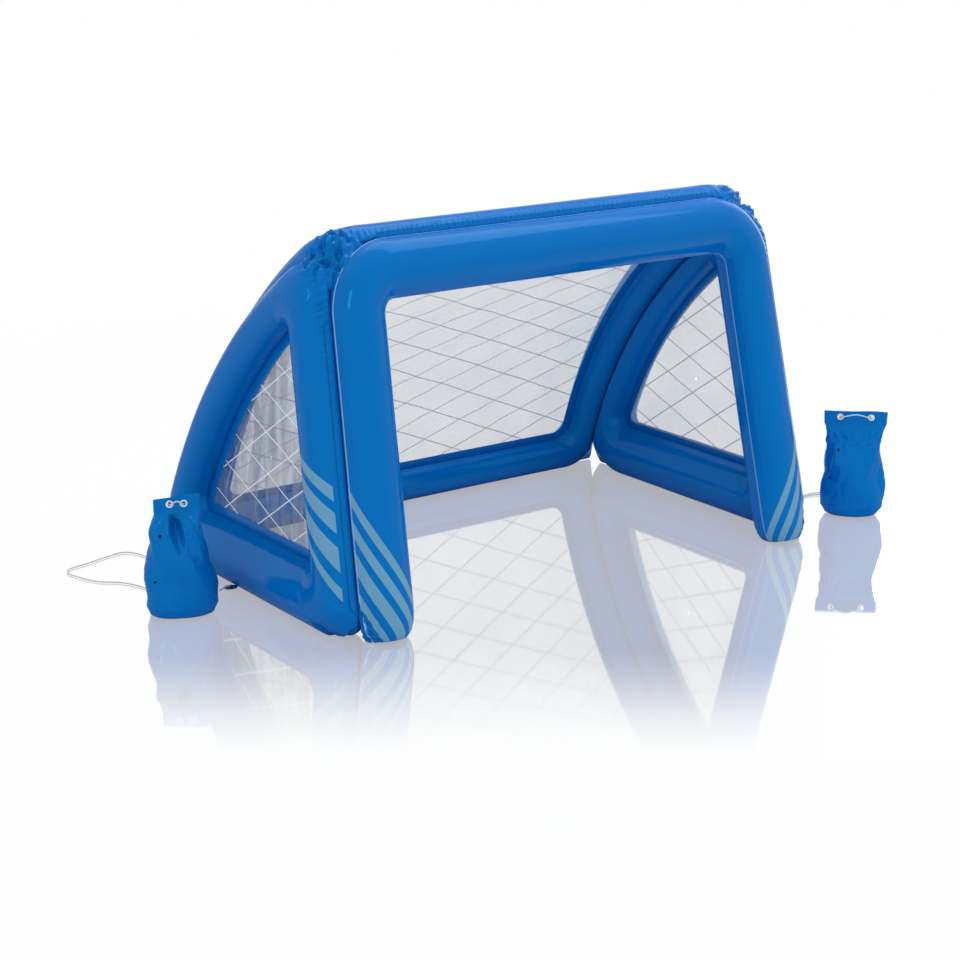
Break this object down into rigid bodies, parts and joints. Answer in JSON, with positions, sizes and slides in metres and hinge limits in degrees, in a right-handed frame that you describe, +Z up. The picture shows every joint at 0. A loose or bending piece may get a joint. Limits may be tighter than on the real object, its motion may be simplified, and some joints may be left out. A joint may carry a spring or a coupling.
{
  "type": "inflatable pool goal",
  "caption": "Inflatable pool goal: leaning tube frame, clear net-printed windows in the sides and the curved back, air valves, and rope-tied anchor bags.",
  "frame": {"origin": "on the floor, in the middle of the footprint of the goal and its two bags", "axes": "+Z up, +X to the goal's right as a player in front of the mouth sees it, +Y from the mouth to the back"},
  "size_m": [1.8887, 0.9157, 0.8456],
  "materials": {
    "blue_vinyl": "glossy flexible vinyl sheet",
    "clear_vinyl": "clear flexible vinyl film",
    "white_plastic": "smooth moulded plastic",
    "black_plastic": "smooth moulded plastic",
    "grey_tape": "woven tape",
    "white_cord": "thin braided cord"
  },
  "bodies": {
    "goal": {"front_chamber": "blue_vinyl", "left_side_chamber": "blue_vinyl", "right_side_chamber": "blue_vinyl", "back_chamber": "blue_vinyl", "left_window_rim": "blue_vinyl", "right_window_rim": "blue_vinyl", "back_window_rim": "blue_vinyl", "top_seam": "blue_vinyl", "left_front_seam": "blue_vinyl", "right_front_seam": "blue_vinyl", "left_back_seam": "blue_vinyl", "right_back_seam": "blue_vinyl", "left_corner_gusset": "blue_vinyl", "right_corner_gusset": "blue_vinyl", "left_tie_tab": "blue_vinyl", "right_tie_tab": "blue_vinyl", "left_window_film": "clear_vinyl", "right_window_film": "clear_vinyl", "back_window_film": "clear_vinyl", "front_valve_base": "white_plastic", "left_side_valve_base": "white_plastic", "right_side_valve_base": "white_plastic", "back_valve_base": "white_plastic", "left_tie_eyelet": "black_plastic", "right_tie_eyelet": "black_plastic", "left_tie_tail": "grey_tape", "right_tie_tail": "grey_tape"},
    "front_valve_lid": {"front_valve_plug": "white_plastic"},
    "left_side_valve_lid": {"left_side_valve_plug": "white_plastic"},
    "right_side_valve_lid": {"right_side_valve_plug": "white_plastic"},
    "back_valve_lid": {"back_valve_plug": "white_plastic"},
    "left_weight": {"left_anchor_bag": "blue_vinyl", "left_bag_eyelet_1": "white_plastic", "left_bag_eyelet_2": "white_plastic", "left_bag_rope": "white_cord", "left_rope_knot": "white_cord"},
    "right_weight": {"right_anchor_bag": "blue_vinyl", "right_bag_eyelet_1": "white_plastic", "right_bag_eyelet_2": "white_plastic", "right_bag_rope": "white_cord", "right_rope_knot": "white_cord"}
  },
  "joints": [
    {"name": "front_valve_hinge", "type": "hinge", "parent": "goal", "child": "front_valve_lid", "pos_m": [-0.49977, -0.37721, 0.13627], "axis": [-0.0084, -1, 0], "range_deg": [0, 150]},
    {"name": "left_side_valve_hinge", "type": "hinge", "parent": "goal", "child": "left_side_valve_lid", "pos_m": [-0.56207, 0.0249, 0.072], "axis": [0, -1, 0], "range_deg": [0, 150]},
    {"name": "right_side_valve_hinge", "type": "hinge", "parent": "goal", "child": "right_side_valve_lid", "pos_m": [0.70768, 0.0249, 0.072], "axis": [0, -1, 0], "range_deg": [0, 150]},
    {"name": "back_valve_hinge", "type": "hinge", "parent": "goal", "child": "back_valve_lid", "pos_m": [0.29869, 0.45197, 0.06601], "axis": [1, 0, 0], "range_deg": [0, 150]},
    {"name": "left_weight_lift", "type": "slide", "parent": "goal", "child": "left_weight", "axis": [0, 0, 1], "range_m": [0, 0.3]},
    {"name": "right_weight_lift", "type": "slide", "parent": "goal", "child": "right_weight", "axis": [0, 0, 1], "range_m": [0, 0.3]}
  ]
}
